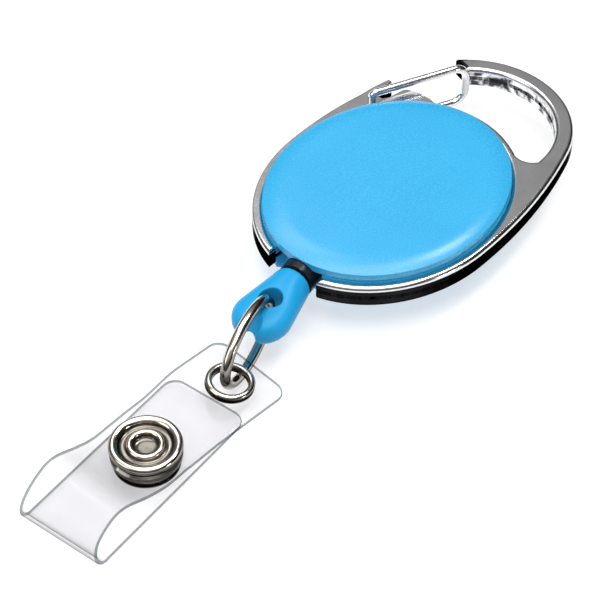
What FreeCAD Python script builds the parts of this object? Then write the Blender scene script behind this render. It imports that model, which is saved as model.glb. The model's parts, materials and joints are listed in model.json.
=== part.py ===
import FreeCAD, Part
import Sketcher
import math
import os

# Retractable badge reel with a carabiner frame.  Millimetres, +Z up.
# Origin: on the drum axis, at the flat back face that the reel lies on.
# +X runs towards the carabiner end, -X towards the cord mouth, +Y to the gate side.

V = FreeCAD.Vector
Z_AXIS = V(0, 0, 1)
Y_AXIS = V(0, 1, 0)
X_AXIS = V(1, 0, 0)

DIMENSIONS = [
    # frame
    ("frame_z", 4.3), ("frame_thick", 3.5), ("frame_a", 21.5), ("frame_b", 18.05),
    ("end_x", 20.1), ("end_r", 15.2), ("side_r", 75.0), ("opening_r", 12.45), ("nose_angle", 47.3),
    ("band_a", 21.7), ("band_b", 18.2), ("band_low", -30.5), ("band_high", 22.0),
    ("frame_edge", 0.7), ("mouth_width", 8.8), ("flange_thick", 0.8), ("flange_width", 1.45),
    # housing
    ("cover_a", 20.0), ("cover_b", 16.6), ("lip", 0.12), ("wall", 2.0), ("cover_edge_z", 9.05),
    ("cover_top_z", 9.9), ("plateau_a", 16.2), ("front_inner_z", 8.4), ("lip_z", 7.95),
    ("rear_inner_z", 1.4), ("back_a", 15.4), ("bevel_z", 3.9), ("parting_z", 6.0),
    ("pocket_x", -17.5), ("pocket_half", 4.3), ("mouth_block_x", -16.2), ("mouth_block_half", 5.5),
    # drum and spring
    ("post_r", 2.5), ("post_spigot_r", 1.5), ("bore_clear", 0.05), ("drum_z", 2.0), ("drum_floor", 0.8),
    ("hub_inner_r", 8.0), ("hub_outer_r", 9.0), ("flange_r", 14.0), ("low_flange_z", 4.0),
    ("flange_t", 0.7), ("high_flange_z", 7.3), ("disc_r", 8.65), ("disc_z", 7.1), ("disc_t", 0.4),
    ("spring_z", 3.1), ("spring_width", 3.7), ("spring_thick", 0.22), ("spring_pitch", 0.62),
    ("washer_r", 4.8), ("washer_t", 0.55), ("recess_r", 2.3), ("recess_z", 0.9), ("screw_head_z", 0.4),
    ("screw_r", 0.72), ("screw_end_z", 4.8),
    # cord
    ("cord_r", 0.45), ("winding_r", 12.4), ("guide_r", 1.5), ("guide_bore", 0.6), ("guide_flange_r", 2.1),
    # connector
    ("ferrule_r", 2.7), ("ferrule_length", 2.95), ("ferrule_x", -18.35), ("ferrule_y", -0.5),
    ("ferrule_clear", 0.1), ("barrel_r", 2.7), ("barrel_length", 2.2), ("eye_x", 8.0),
    ("eye_hole_x", 6.2), ("eye_head_r", 4.1), ("eye_hole_r", 1.75), ("eye_thick", 4.2),
    ("eye_round", 1.35), ("groove_r", 2.4), ("groove_depth", 0.75), ("knot_r", 1.1),
    ("knot_room_r", 1.5), ("knot_room", 3.4), ("connector_yaw", 8.7),
    # ring
    ("ring_a", 7.0), ("ring_b", 4.55), ("ring_wire", 1.5), ("ring_yaw", 16.4), ("ring_pitch", 5.0),
    ("ring_x", -33.83), ("ring_y", -3.41), ("ring_z", 5.33),
    # strap
    ("strap_width", 13.0), ("strap_thick", 0.5), ("strap_yaw", 4.7), ("front_yaw", -1.2),
    ("snap_x", -55.1), ("snap_y", -4.6), ("snap_flat", 5.3), ("strap_corner", 2.0),
    ("low_strap_z", 0.6), ("low_strap_reach", 13.35), ("low_strap_length", 27.6),
    ("high_strap_z", 2.75), ("eyelet_strap_z", 2.64), ("eyelet_reach", 15.9), ("strap_tail", 4.55),
    ("eyelet_drop", 4.8), ("eyelet_roll", 5.5), ("eyelet_flat", 3.7),
    ("eyelet_r", 3.45), ("eyelet_bore", 2.5),
    ("snap_r", 5.0), ("snap_tube_r", 2.6), ("snap_bore", 1.7), ("stud_r", 1.75),
    ("stud_hole_r", 1.22), ("socket_bore", 1.95),
    # gate
    ("gate_x", 13.9), ("gate_y", 14.6), ("gate_wire", 1.25), ("gate_reach", 16.2), ("gate_angle", -24.5),
    ("gate_high_z", 9.1), ("gate_low_z", 2.4), ("gate_bend", 2.2), ("gate_clear", 0.05),
]

doc = FreeCAD.newDocument("badge_reel")
sheet = doc.addObject("Spreadsheet::Sheet", "dims")
for row, (alias, value) in enumerate(DIMENSIONS, start=1):
    sheet.set("A%d" % row, alias)
    sheet.set("B%d" % row, str(value))
    sheet.setAlias("B%d" % row, alias)
doc.recompute()

sub_parts = []


def dim(alias):
    """Value of a driving dimension, read from the sheet."""
    return float(sheet.get(alias))


def sub_part(thing, label):
    thing.Label = label
    sub_parts.append(thing)
    return thing


def bind(thing, **expressions):
    for prop, expression in expressions.items():
        thing.setExpression(prop, expression)
    return thing


def of_sheet(expression):
    """Write 'frame_z + wall' as 'dims.frame_z + dims.wall'."""
    words = []
    for word in expression.replace("(", "( ").replace(")", " )").split():
        words.append("dims." + word if word[0].isalpha() else word)
    return " ".join(words)


def cylinder(name, radius, height, low="0", x="0", y="0"):
    thing = doc.addObject("Part::Cylinder", name)
    bind(thing, Radius=of_sheet(radius), Height=of_sheet(height))
    thing.setExpression("Placement.Base.x", of_sheet(x))
    thing.setExpression("Placement.Base.y", of_sheet(y))
    thing.setExpression("Placement.Base.z", of_sheet(low))
    return thing


def box(name, low, size):
    thing = doc.addObject("Part::Box", name)
    bind(thing, Length=of_sheet(size[0]), Width=of_sheet(size[1]), Height=of_sheet(size[2]))
    for axis, expression in zip("xyz", low):
        thing.setExpression("Placement.Base." + axis, of_sheet(expression))
    return thing


def oval(name, major, minor, height, low):
    """Upright solid with an elliptical outline."""
    outline = doc.addObject("Part::Ellipse", name + "_outline")
    bind(outline, MajorRadius=of_sheet(major), MinorRadius=of_sheet(minor))
    outline.setExpression("Placement.Base.z", of_sheet(low))
    thing = doc.addObject("Part::Extrusion", name)
    thing.Base = outline
    thing.DirMode = "Custom"
    thing.Dir = Z_AXIS
    thing.Solid = True
    thing.setExpression("LengthFwd", of_sheet(height))
    return thing


def cut(name, base, tool):
    thing = doc.addObject("Part::Cut", name)
    thing.Base = base
    thing.Tool = tool
    return thing


def fuse(name, shapes):
    thing = doc.addObject("Part::MultiFuse", name)
    thing.Shapes = shapes
    return thing


def feature(name, shape):
    thing = doc.addObject("Part::Feature", name)
    thing.Shape = shape
    return thing


def origin_plane(body, role):
    return [item for item in body.Origin.OriginFeatures if item.Role == role][0]


def sketch_outline(body, name, role, points):
    """Closed outline of straight lines, each corner held by two sheet expressions."""
    sketch = body.newObject("Sketcher::SketchObject", name)
    sketch.AttachmentSupport = [(origin_plane(body, role), "")]
    sketch.MapMode = "FlatFace"
    corners = [V(value(u), value(v), 0) for u, v in points]
    count = len(corners)
    for i in range(count):
        sketch.addGeometry(Part.LineSegment(corners[i], corners[(i + 1) % count]), False)
    for i in range(count):
        sketch.addConstraint(Sketcher.Constraint("Coincident", i, 2, (i + 1) % count, 1))
    for i, (u, v) in enumerate(points):
        across = sketch.addConstraint(Sketcher.Constraint("DistanceX", -1, 1, i, 1, corners[i].x))
        up = sketch.addConstraint(Sketcher.Constraint("DistanceY", -1, 1, i, 1, corners[i].y))
        sketch.setExpression("Constraints[%d]" % across, of_sheet(u))
        sketch.setExpression("Constraints[%d]" % up, of_sheet(v))
    return sketch


def value(expression):
    """Number that a sheet expression gives, for first drawing a sketch."""
    return float(sheet.evalExpression(of_sheet(expression)))


def turned(name, points):
    """Body made by turning an outline of (radius, height) expressions about Z."""
    body = doc.addObject("PartDesign::Body", name)
    sketch = sketch_outline(body, name + "_outline", "XZ_Plane", points)
    revolution = body.newObject("PartDesign::Revolution", name + "_turn")
    revolution.Profile = sketch
    revolution.ReferenceAxis = (sketch, ["V_Axis"])
    revolution.Angle = 360
    return body


def along_x(point, yaw=0.0, pitch=0.0):
    """Placement that lays a body's own Z axis along -X, turned by yaw, at a point."""
    heading = FreeCAD.Rotation(Z_AXIS, yaw).multiply(FreeCAD.Rotation(Y_AXIS, -90 + pitch))
    return FreeCAD.Placement(point, heading)


def swept_wire(path, radius):
    """Round wire along a path that starts at its first edge."""
    first = path.Edges[0]
    start = first.valueAt(first.FirstParameter)
    ahead = first.tangentAt(first.FirstParameter)
    section = Part.Wire(Part.makeCircle(radius, start, ahead))
    return path.makePipeShell([section], True, True)


# ---------------------------------------------------------------- carabiner frame


def frame_outline():
    """Oval half at the mouth end, a long bowed side on each hand and a round carabiner end."""
    a, b, centre, r = dim("frame_a"), dim("frame_b"), dim("end_x"), dim("end_r")
    side_r = dim("side_r")
    end_centre = V(centre, 0, 0)

    def oval_point(angle):
        return V(a * math.cos(angle), b * math.sin(angle), 0)

    def side_centre(angle):
        inward = V(-math.cos(angle) / a, -math.sin(angle) / b, 0).normalize()
        return oval_point(angle) + inward * side_r

    def gap(angle):
        # how far the side arc's centre is from touching the end circle from inside
        return (side_centre(angle) - end_centre).Length - (side_r - r)

    low, high = math.radians(60), math.radians(110)
    for _ in range(60):
        middle = (low + high) / 2
        if gap(middle) * gap(low) > 0:
            low = middle
        else:
            high = middle
    touch = oval_point(low)
    bow = side_centre(low)
    end_touch = end_centre + (end_centre - bow).normalize() * r
    mid_side = bow + ((touch + end_touch) / 2 - bow).normalize() * side_r

    def mirrored(point):
        return V(point.x, -point.y, 0)

    oval_curve = Part.Ellipse(V(0, 0, 0), a, b)
    left = Part.ArcOfEllipse(oval_curve, low, 2 * math.pi - low).toShape()
    upper = Part.Arc(touch, mid_side, end_touch).toShape()
    right = Part.Arc(end_touch, V(centre + r, 0, 0), mirrored(end_touch)).toShape()
    lower = Part.Arc(mirrored(end_touch), mirrored(mid_side), mirrored(touch)).toShape()
    return Part.Wire(Part.__sortEdges__([left, upper, right, lower]))


# the rim beside the gate's pivot: a low hump inside it, and the slot that its wire leaves through
GATE_HUMP = [(20.5, 8.6), (20.15, 10.7), (19.6, 12.3), (19.0, 12.75), (16.2, 13.3), (15.5, 13.8)]
GATE_SLOT = [(15.5, 15.3), (17.2, 15.15), (19.5, 15.2), (19.8, 18.5)]


def opening_outline():
    """Carabiner opening, with the slot at the gate pivot and the gap in the rim for the gate."""
    centre, r = dim("end_x"), dim("opening_r")
    a, b = dim("band_a"), dim("band_b")

    def on_end(degrees, radius=r):
        angle = math.radians(degrees)
        return V(centre + radius * math.cos(angle), radius * math.sin(angle), 0)

    nose_angle = dim("nose_angle")
    end_low = -92.0
    nose_inner = on_end(nose_angle - 5)
    nose_step = on_end(nose_angle - 3, r + 0.9)
    nose_outer = on_end(nose_angle + 3, dim("end_r") + 2.0)
    band_low = math.radians(dim("band_low"))
    band_high = math.radians(dim("band_high"))
    band_curve = Part.Ellipse(V(0, 0, 0), a, b)
    band = Part.ArcOfEllipse(band_curve, band_low, band_high).toShape()
    band_start = V(a * math.cos(band_low), b * math.sin(band_low), 0)
    band_end = V(a * math.cos(band_high), b * math.sin(band_high), 0)
    corner = V(18.75, -11.35, 0)
    hump = [V(x, y, 0) for x, y in GATE_HUMP]
    slot = [V(x, y, 0) for x, y in GATE_SLOT]
    edges = [Part.Arc(nose_inner, on_end(-20), on_end(end_low)).toShape()]
    edges.append(Part.Arc(on_end(end_low), corner, band_start).toShape())
    edges.append(band)
    chain = [band_end] + hump + slot + [nose_outer, nose_step, nose_inner]
    for start, end in zip(chain[:-1], chain[1:]):
        edges.append(Part.LineSegment(start, end).toShape())
    return Part.Wire(Part.__sortEdges__(edges))


def upright(wire, low, height):
    solid = Part.Face(wire).extrude(V(0, 0, height))
    solid.translate(V(0, 0, low))
    return solid


def rim_edges(solid, heights):
    """Edges that lie in the horizontal faces at the given heights."""
    found = []
    for edge in solid.Edges:
        box_now = edge.BoundBox
        if box_now.ZLength < 1e-4 and min(abs(box_now.ZMin - z) for z in heights) < 1e-4:
            found.append(edge)
    return found


def make_frame():
    low, thick, edge = dim("frame_z"), dim("frame_thick"), dim("frame_edge")
    plate = upright(frame_outline(), low, thick)
    plate = plate.makeFillet(edge, rim_edges(plate, [low, low + thick]))
    opening = upright(opening_outline(), low - 1, thick + 2)
    plate = plate.cut(opening)
    inner_a = dim("cover_a") + dim("lip") + 0.03
    inner_b = dim("cover_b") + dim("lip") + 0.03
    hollow = upright(Part.Wire(Part.Ellipse(V(0, 0, 0), inner_a, inner_b).toShape()), low - 1, thick + 2)
    flange_z = dim("parting_z") - dim("flange_thick") / 2
    ring_outer = upright(Part.Wire(Part.Ellipse(V(0, 0, 0), inner_a, inner_b).toShape()),
                         flange_z, dim("flange_thick"))
    width = dim("flange_width")
    ring_inner = upright(Part.Wire(Part.Ellipse(V(0, 0, 0), inner_a - width, inner_b - width).toShape()),
                         flange_z - 1, dim("flange_thick") + 2)
    body = plate.cut(hollow).fuse(ring_outer.cut(ring_inner)).removeSplitter()
    half = dim("mouth_width") / 2
    mouth = Part.makeBox(12, 2 * half, thick + 2, V(-26, -half, low - 1))
    body = body.cut(mouth)
    hole = Part.makeCylinder(dim("gate_wire") / 2 + dim("gate_clear"), thick + 2,
                             V(dim("gate_x"), dim("gate_y"), low - 1))
    return sub_part(feature("carabiner_frame_solid", body.cut(hole)), "carabiner_frame")


# ---------------------------------------------------------------- wire gate


def make_gate():
    """Wire gate: one loop over and under the rim, its two ends bent into the pivot hole."""
    reach, bend = dim("gate_reach"), dim("gate_bend")
    high, low = dim("gate_high_z"), dim("gate_low_z")
    end_bend = 0.8
    inside = 1.3
    top_in = dim("frame_z") + dim("frame_thick") - inside
    low_in = dim("frame_z") + inside
    half_turn = math.sqrt(0.5)

    def quarter(corner, before, after, r):
        start = corner + before * r
        end = corner + after * r
        middle = corner + (before + after) * (r * (1 - half_turn))
        return start, middle, end

    corners = [(V(0, 0, high), V(0, 0, -1), X_AXIS, end_bend),
               (V(reach, 0, high), -X_AXIS, V(0, 0, -1), bend),
               (V(reach, 0, low), Z_AXIS, -X_AXIS, bend),
               (V(0, 0, low), X_AXIS, Z_AXIS, end_bend)]
    edges = []
    here = V(0, 0, top_in)
    for corner, before, after, r in corners:
        start, middle, end = quarter(corner, before, after, r)
        edges.append(Part.LineSegment(here, start).toShape())
        edges.append(Part.Arc(start, middle, end).toShape())
        here = end
    edges.append(Part.LineSegment(here, V(0, 0, low_in)).toShape())
    shape = swept_wire(Part.Wire(edges), dim("gate_wire") / 2)
    gate = feature("gate_wire_solid", shape)
    gate.Placement = FreeCAD.Placement(V(dim("gate_x"), dim("gate_y"), 0),
                                       FreeCAD.Rotation(Z_AXIS, dim("gate_angle")))
    return sub_part(gate, "gate_wire")


# ---------------------------------------------------------------- housing


def scaled_dome(profile, aspect):
    """Turn a closed (r, z) wire about Z and narrow it across Y into an oval."""
    solid = Part.Face(profile).revolve(V(0, 0, 0), Z_AXIS, 360)
    squeeze = FreeCAD.Matrix()
    squeeze.A22 = aspect
    return solid.transformGeometry(squeeze)


def front_dome():
    a, top, edge_z, lip_z = dim("cover_a"), dim("cover_top_z"), dim("cover_edge_z"), dim("lip_z")
    plateau, crown = dim("plateau_a"), 0.12
    axis_top = V(0, 0, top)
    shoulder = V(plateau, 0, top - crown)
    edge = V(a, 0, edge_z)
    edges = [Part.LineSegment(V(0, 0, lip_z), axis_top).toShape(),
             Part.Arc(axis_top, V(plateau / 2, 0, top - crown / 4), shoulder).toShape(),
             Part.Arc(shoulder, V(plateau + (a - plateau) * 0.62, 0, top - crown - 0.26), edge).toShape(),
             Part.LineSegment(edge, V(a, 0, lip_z)).toShape(),
             Part.LineSegment(V(a, 0, lip_z), V(0, 0, lip_z)).toShape()]
    return scaled_dome(Part.Wire(edges), dim("cover_b") / a)


def cavity(name, low, height):
    """Room inside the shells, short of the solid block behind the cord mouth."""
    room = oval(name + "_room", "cover_a + lip - wall", "cover_b + lip - wall", height, low)
    block = box(name + "_block", ("0 - 30", "0 - mouth_block_half", "0"),
                ("30 + mouth_block_x", "2 * mouth_block_half", "12"))
    return cut(name, room, block)


def mouth_pocket(name, height):
    return box(name, ("0 - 30", "0 - pocket_half", "0 - 1"),
               ("30 + pocket_x", "2 * pocket_half", height))


def guide_seat(name):
    seat = doc.addObject("Part::Cylinder", name)
    bind(seat, Radius=of_sheet("guide_r + 0.02"), Height="8")
    seat.Placement = FreeCAD.Placement(V(-20, 0, dim("parting_z")), FreeCAD.Rotation(Y_AXIS, 90))
    return seat


def ferrule_bore(name):
    """Clearance for the ferrule where it sits back in the mouth, along its own leaning axis."""
    bore = doc.addObject("Part::Cylinder", name)
    bind(bore, Radius=of_sheet("ferrule_r + ferrule_clear"), Height="20")
    bore.Placement = along_x(connector_place(-1.2), dim("connector_yaw"))
    stop = box(name + "_stop", ("pocket_x", "0 - 6", "0"), ("6", "12", "12"))
    return cut(name + "_open", bore, stop)


def make_front_cover():
    dome = feature("front_dome", front_dome())
    gap = "0.02"
    lip = oval("front_lip", "cover_a + lip", "cover_b + lip",
               "lip_z - parting_z - 0.5 * flange_thick - 0.1 - " + gap,
               "parting_z + 0.5 * flange_thick + " + gap)
    neck = oval("front_neck", "cover_a - 0.15", "cover_b - 0.15", "0.2", "lip_z - 0.15")
    inner = oval("front_spigot", "cover_a + lip - flange_width - 0.1", "cover_b + lip - flange_width - 0.1",
                 "1", "parting_z + " + gap)
    shell = fuse("front_shell", [dome, lip, neck, inner])
    hollow = cavity("front_cavity", "2", "front_inner_z - 2")
    shell = cut("front_hollowed", shell, hollow)
    shell = cut("front_pocketed", shell, mouth_pocket("front_pocket", "lip_z + 1 - 0.1"))
    shell = cut("front_bored", shell, ferrule_bore("front_bore"))
    return sub_part(cut("front_cover_solid", shell, guide_seat("front_guide_seat")), "front_cover")


def rear_bowl():
    """Back shell: flat resting face, bevelled flank and a short upright wall."""
    a = dim("cover_a") + dim("lip")
    back, bevel = dim("back_a"), dim("bevel_z")
    top = dim("parting_z") - dim("flange_thick") / 2 - 0.02
    foot_round = 0.5
    knee_round = 0.35
    corners = [V(0, 0, 0), V(back - foot_round, 0, 0), V(back + 0.42, 0, 0.32),
               V(a - knee_round, 0, bevel - knee_round), V(a, 0, bevel + 0.3), V(a, 0, top), V(0, 0, top)]
    edges = [Part.LineSegment(corners[0], corners[1]).toShape(),
             Part.Arc(corners[1], V(back + 0.05, 0, 0.08), corners[2]).toShape(),
             Part.LineSegment(corners[2], corners[3]).toShape(),
             Part.Arc(corners[3], V(a - 0.08, 0, bevel - 0.05), corners[4]).toShape(),
             Part.LineSegment(corners[4], corners[5]).toShape(),
             Part.LineSegment(corners[5], corners[6]).toShape(),
             Part.LineSegment(corners[6], corners[0]).toShape()]
    return scaled_dome(Part.Wire(edges), (dim("cover_b") + dim("lip")) / a)


def make_rear_cover():
    bowl = feature("rear_bowl", rear_bowl())
    spigot = oval("rear_spigot", "cover_a + lip - flange_width - 0.1", "cover_b + lip - flange_width - 0.1",
                  "1.5", "parting_z - 1.5 - 0.02")
    shell = fuse("rear_shell", [bowl, spigot])
    room_low = cylinder("rear_room_low", "flange_r + 0.4", "4", "rear_inner_z")
    room_high = cavity("rear_cavity", "bevel_z", "4")
    shell = cut("rear_hollowed", shell, fuse("rear_rooms", [room_low, room_high]))
    shell = cut("rear_pocketed", shell, mouth_pocket("rear_pocket", "12"))
    shell = cut("rear_seated", shell, guide_seat("rear_guide_seat"))
    head = cylinder("screw_head_recess", "recess_r", "recess_z", "0")
    shank = cylinder("post_spigot_hole", "post_spigot_r + 0.02", "3", "0")
    return sub_part(cut("rear_cover_solid", shell, fuse("rear_holes", [head, shank])), "rear_cover")


def make_cord_guide():
    """Bushing that the cord runs out through, held between the two shells."""
    points = [("guide_bore", "0"), ("guide_r", "0"), ("guide_r", "mouth_block_x - pocket_x"),
              ("guide_flange_r", "mouth_block_x - pocket_x"),
              ("guide_flange_r", "mouth_block_x - pocket_x + 0.4"),
              ("guide_bore + 0.35", "mouth_block_x - pocket_x + 0.4"),
              ("guide_bore", "mouth_block_x - pocket_x + 0.1")]
    body = turned("cord_guide_body", points)
    body.Placement = along_x(V(dim("mouth_block_x"), 0, dim("parting_z")))
    return sub_part(body, "cord_guide")


def make_axle_post():
    """Fixed post that the drum turns on, slotted across its top for the spring's inner end."""
    post = cylinder("post_shaft", "post_r", "front_inner_z - rear_inner_z - 0.02", "rear_inner_z + 0.01")
    spigot = cylinder("post_spigot", "post_spigot_r", "0.6", "rear_inner_z - 0.45")
    bore = cylinder("post_bore", "0.75", "5", "0")
    slot = box("post_slot", ("0 - 0.2", "0", "spring_z - 0.1"), ("0.4", "post_r + 1", "8"))
    solid = cut("axle_post_solid", fuse("post_blank", [post, spigot]), fuse("post_cuts", [bore, slot]))
    return sub_part(solid, "axle_post")


def make_centre_screw():
    """Screw through the back shell into the post, with a cross recess."""
    points = [("0", "screw_head_z"), ("1.9", "screw_head_z"), ("2.15", "screw_head_z + 0.15"),
              ("2.15", "recess_z"), ("screw_r", "recess_z"), ("screw_r", "screw_end_z - 0.4"),
              ("0.4", "screw_end_z"), ("0", "screw_end_z")]
    body = turned("centre_screw_blank", points)
    bars = [box("recess_bar_%d" % i, low, size) for i, (low, size) in enumerate(
        [(("0 - 1.2", "0 - 0.2", "0"), ("2.4", "0.4", "screw_head_z + 0.3")),
         (("0 - 0.2", "0 - 1.2", "0"), ("0.4", "2.4", "screw_head_z + 0.3"))])]
    return sub_part(cut("centre_screw_solid", body, fuse("cross_recess", bars)), "centre_screw")


def make_screw_plug():
    """Flush plug over the screw head, level with the flat back."""
    return sub_part(cylinder("screw_plug_disc", "recess_r - 0.03", "screw_head_z - 0.1", "0"), "screw_plug")


def make_thrust_washer():
    points = [("post_r + bore_clear", "rear_inner_z + 0.01"), ("washer_r", "rear_inner_z + 0.01"),
              ("washer_r", "rear_inner_z + washer_t"), ("post_r + bore_clear", "rear_inner_z + washer_t")]
    return sub_part(turned("thrust_washer_body", points), "thrust_washer")


# ---------------------------------------------------------------- drum, spring and cord


def make_drum():
    points = [("post_r + bore_clear", "drum_z"), ("hub_outer_r", "drum_z"), ("hub_outer_r", "low_flange_z"),
              ("flange_r", "low_flange_z"), ("flange_r", "low_flange_z + flange_t"),
              ("hub_outer_r", "low_flange_z + flange_t"), ("hub_outer_r", "high_flange_z"),
              ("flange_r", "high_flange_z"), ("flange_r", "high_flange_z + flange_t"),
              ("disc_r + 0.03", "high_flange_z + flange_t"), ("disc_r + 0.03", "disc_z - 0.02"),
              ("hub_inner_r", "disc_z - 0.02"), ("hub_inner_r", "drum_z + drum_floor"),
              ("post_r + bore_clear", "drum_z + drum_floor")]
    blank = turned("drum_blank", points)
    anchor_slot = box("spring_anchor_slot", ("hub_inner_r - 0.5", "0 - 0.15", "drum_z + drum_floor"),
                      ("1.1", "0.3", "disc_z - drum_z - drum_floor"))
    knot_seat = cylinder("knot_seat", "0.85", "2", "parting_z - 1", "0 - hub_outer_r + 0.75", "0")
    return sub_part(cut("drum_solid", blank, fuse("drum_cuts", [anchor_slot, knot_seat])), "drum")


def make_spring_disc():
    points = [("post_r + 0.4", "disc_z"), ("disc_r", "disc_z"), ("disc_r", "disc_z + disc_t"),
              ("post_r + 0.4", "disc_z + disc_t")]
    return sub_part(turned("spring_disc_body", points), "spring_cover_disc")


def make_spring():
    """Flat spiral spring: half turns about two centres in turn, so each meets the next smoothly."""
    pitch, thick = dim("spring_pitch"), dim("spring_thick")
    start_r = dim("post_r") + 0.35
    half_turns = 2 * int((dim("hub_inner_r") - 0.45 - start_r) / pitch)

    def side(offset):
        edges = []
        for i in range(half_turns):
            radius = start_r + i * pitch / 2 + offset
            centre = V(0, 0 if i % 2 == 0 else pitch / 2, 0)
            sign = 1 if i % 2 == 0 else -1
            start = centre + V(0, sign * radius, 0)
            middle = centre + V(-sign * radius, 0, 0)
            end = centre - V(0, sign * radius, 0)
            edges.append(Part.Arc(start, middle, end).toShape())
        return edges

    outer = side(thick / 2)
    inner = side(-thick / 2)
    ends = []
    for outer_edge, inner_edge, which in ((outer[0], inner[0], 0), (outer[-1], inner[-1], -1)):
        ends.append(Part.LineSegment(outer_edge.Vertexes[which].Point,
                                     inner_edge.Vertexes[which].Point).toShape())
    outline = Part.Wire(Part.__sortEdges__(outer + inner + ends))
    spiral = upright(outline, dim("spring_z"), dim("spring_width"))
    return sub_part(feature("spiral_spring_solid", spiral), "spiral_spring")


def make_winding():
    points = [("hub_outer_r + 0.03", "low_flange_z + flange_t + 0.05"),
              ("winding_r - 0.3", "low_flange_z + flange_t + 0.05"),
              ("winding_r", "low_flange_z + flange_t + 0.35"),
              ("winding_r", "high_flange_z - 0.35"), ("winding_r - 0.3", "high_flange_z - 0.05"),
              ("hub_outer_r + 0.03", "high_flange_z - 0.05")]
    return sub_part(turned("cord_winding_body", points), "cord_winding")


def make_drum_knot():
    knot = doc.addObject("Part::Sphere", "drum_knot_ball")
    bind(knot, Radius="0.7")
    knot.setExpression("Placement.Base.x", of_sheet("0 - hub_outer_r + 0.75"))
    knot.setExpression("Placement.Base.z", of_sheet("parting_z"))
    return sub_part(knot, "drum_knot")


def connector_place(distance):
    """Point on the connector's axis, a distance out from the guide."""
    yaw = math.radians(dim("connector_yaw"))
    start = V(dim("ferrule_x"), dim("ferrule_y"), dim("parting_z"))
    return start + V(-math.cos(yaw), -math.sin(yaw), 0) * distance


def make_cord_lead():
    """Cord from the outside of the winding, round the guide's mouth, into the ferrule."""
    z = dim("parting_z")
    r = dim("winding_r") + dim("cord_r") + 0.1
    bend_r = 2.7
    bend_reach = 14.9
    bend = V(-bend_reach, 0, z)
    leave = math.acos(r / bend_reach)
    peel = V(-r * math.cos(leave), -r * math.sin(leave), z)
    inward = (peel - bend).normalize()
    outward = V(-1, 0, 0)
    turn = math.pi - inward.getAngle(outward)
    back = bend_r * math.tan(turn / 2)
    arc_in = bend + inward * back
    arc_out = bend + outward * back
    bisector = (inward + outward).normalize()
    middle = bend + bisector * (bend_r / math.cos(turn / 2) - bend_r)
    tip = connector_place(0.4)
    edges = [Part.LineSegment(peel, arc_in).toShape(), Part.Arc(arc_in, middle, arc_out).toShape(),
             Part.LineSegment(arc_out, V(tip.x, 0, z)).toShape()]
    return sub_part(feature("cord_lead_solid", swept_wire(Part.Wire(edges), dim("cord_r"))), "cord_lead")


# ---------------------------------------------------------------- connector and ring


def make_ferrule():
    points = [("cord_r + 0.75", "0"), ("ferrule_r - 0.3", "0"), ("ferrule_r", "0.3"),
              ("ferrule_r", "ferrule_length"), ("0.55", "ferrule_length"), ("0.55", "0.65")]
    body = turned("cord_ferrule_body", points)
    body.Placement = along_x(connector_place(0), dim("connector_yaw"))
    return sub_part(body, "cord_ferrule")


def make_connector():
    """Teardrop connector: round barrel, flat eye with a hole, and a groove from hole to tip."""
    barrel, head, eye_x = dim("barrel_r"), dim("eye_head_r"), dim("eye_x")
    angle = math.asin((head - barrel) / eye_x)
    touch = V(eye_x - head * math.sin(angle), head * math.cos(angle), 0)
    start = V(0, barrel - 0.02, 0)
    tip = V(eye_x + head, 0, 0)
    edges = [Part.LineSegment(V(0, -start.y, 0), start).toShape(),
             Part.LineSegment(start, touch).toShape(),
             Part.Arc(touch, tip, V(touch.x, -touch.y, 0)).toShape(),
             Part.LineSegment(V(touch.x, -touch.y, 0), V(0, -start.y, 0)).toShape()]
    above = barrel + 1
    plan = Part.Face(Part.Wire(edges)).extrude(V(0, 0, 2 * above))
    plan.translate(V(0, 0, -above))
    half_eye = dim("eye_thick") / 2
    half_tip = half_eye - 0.25
    beside = head + 1
    side_view = [(0, barrel), (dim("barrel_length"), barrel), (eye_x - 1.5, half_eye),
                 (tip.x + 1, half_tip)]
    side_points = [V(x, -beside, z) for x, z in side_view]
    side_points += [V(x, -beside, -z) for x, z in reversed(side_view)]
    side = Part.Face(Part.makePolygon(side_points + side_points[:1])).extrude(V(0, 2 * beside, 0))
    blank = plan.common(side)
    blank = blank.makeFillet(dim("eye_round"), long_edges(blank))
    hole_x = dim("eye_hole_x")
    hole = Part.makeCylinder(dim("eye_hole_r"), 2 * above, V(hole_x, 0, -above))
    knot_room = Part.makeCylinder(dim("knot_room_r"), dim("knot_room"), V(-0.01, 0, 0), X_AXIS)
    groove_z = half_eye + dim("groove_r") - dim("groove_depth")
    for sign in (1, -1):
        blank = blank.cut(Part.makeCylinder(dim("groove_r"), 8, V(hole_x, 0, sign * groove_z), X_AXIS))
    connector = feature("connector_solid", blank.cut(hole).cut(knot_room))
    heading = FreeCAD.Rotation(Z_AXIS, 180 + dim("connector_yaw"))
    connector.Placement = FreeCAD.Placement(connector_place(dim("ferrule_length") + 0.01), heading)
    return sub_part(connector, "cord_end_connector")


def long_edges(blank):
    """Edges along the four long corners of the connector and round its tip."""
    found = []
    for edge in blank.Edges:
        span = edge.BoundBox
        middle = edge.CenterOfMass
        corner = span.XLength > 0.5 and abs(middle.z) > 0.5 and abs(middle.y) > 0.8
        round_tip = span.XLength > 1 and span.YLength > 4
        if (corner or round_tip) and not any(edge.isSame(other) for other in found):
            found.append(edge)
    return found


def make_connector_knot():
    knot = doc.addObject("Part::Sphere", "connector_knot_ball")
    bind(knot, Radius=of_sheet("knot_r"))
    place = connector_place(dim("ferrule_length") + 1.7)
    knot.Placement = FreeCAD.Placement(place, FreeCAD.Rotation())
    return sub_part(knot, "connector_knot")


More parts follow.
